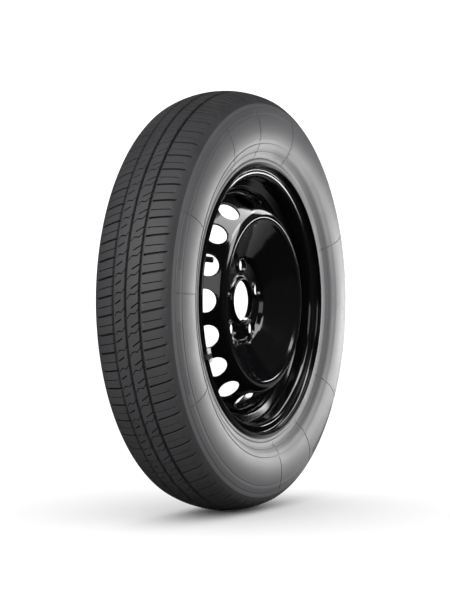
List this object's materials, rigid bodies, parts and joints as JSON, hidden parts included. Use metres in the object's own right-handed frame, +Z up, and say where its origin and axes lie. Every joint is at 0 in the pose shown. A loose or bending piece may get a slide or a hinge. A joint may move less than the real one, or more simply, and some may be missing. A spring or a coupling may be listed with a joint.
{
  "type": "temporary-use spare car tyre on its steel wheel",
  "caption": "Narrow temporary spare tyre with a ribbed tread, mounted on a black pressed-steel wheel with round vent holes, a snap-in valve and a clip-on balance weight.",
  "frame": {"origin": "centre of the wheel, on the axle line and midway across the tyre", "axes": "+Y along the axle towards the car, so the outer face looks along -Y; +Z up with a lug hole at the top"},
  "size_m": [0.685, 0.1506, 0.685],
  "materials": {
    "tyre_rubber": "moulded black rubber, matt on the tread and satin on the sidewall",
    "painted_steel": "gloss black dipped enamel on pressed steel",
    "valve_rubber": "smooth moulded rubber",
    "valve_brass": "turned brass",
    "seal_rubber": "small moulded seals",
    "spring_steel": "bright spring steel",
    "cap_plastic": "moulded black plastic with a knurl",
    "coated_weight": "light grey coated zinc casting"
  },
  "bodies": {
    "wheel": {"tyre": "tyre_rubber", "wheel_rim": "painted_steel", "wheel_disc": "painted_steel", "valve_rubber_body": "valve_rubber", "valve_brass_stem": "valve_brass", "valve_core_barrel": "valve_brass", "valve_core_barrel_seal": "seal_rubber", "valve_core_spring": "spring_steel", "balance_weight": "coated_weight", "balance_weight_clip": "spring_steel"},
    "core_pin": {"valve_core_pin": "valve_brass", "valve_core_cup": "valve_brass", "valve_core_cup_seal": "seal_rubber"},
    "cap_seal": {"valve_cap_seal": "seal_rubber"},
    "cap": {"valve_cap": "cap_plastic"}
  },
  "joints": [
    {"name": "valve_cap_lift", "type": "slide", "parent": "wheel", "child": "cap_seal", "axis": [0.2904, -0.9511, -0.1057], "range_m": [0, 0.00476]},
    {"name": "valve_cap_turn", "type": "hinge", "parent": "cap_seal", "child": "cap", "pos_m": [-0.18145, -0.02695, 0.06604], "axis": [0.2904, -0.9511, -0.1057], "range_deg": [0, 2160]},
    {"name": "core_pin_press", "type": "slide", "parent": "wheel", "child": "core_pin", "axis": [-0.2904, 0.9511, 0.1057], "range_m": [0, 0.0012], "stiffness_N_per_m": 500, "deforming": ["valve_core_spring"]}
  ],
  "couplings": [
    {"joint": "valve_cap_turn", "follows": "valve_cap_lift", "rad_per_m": 7913.3}
  ]
}
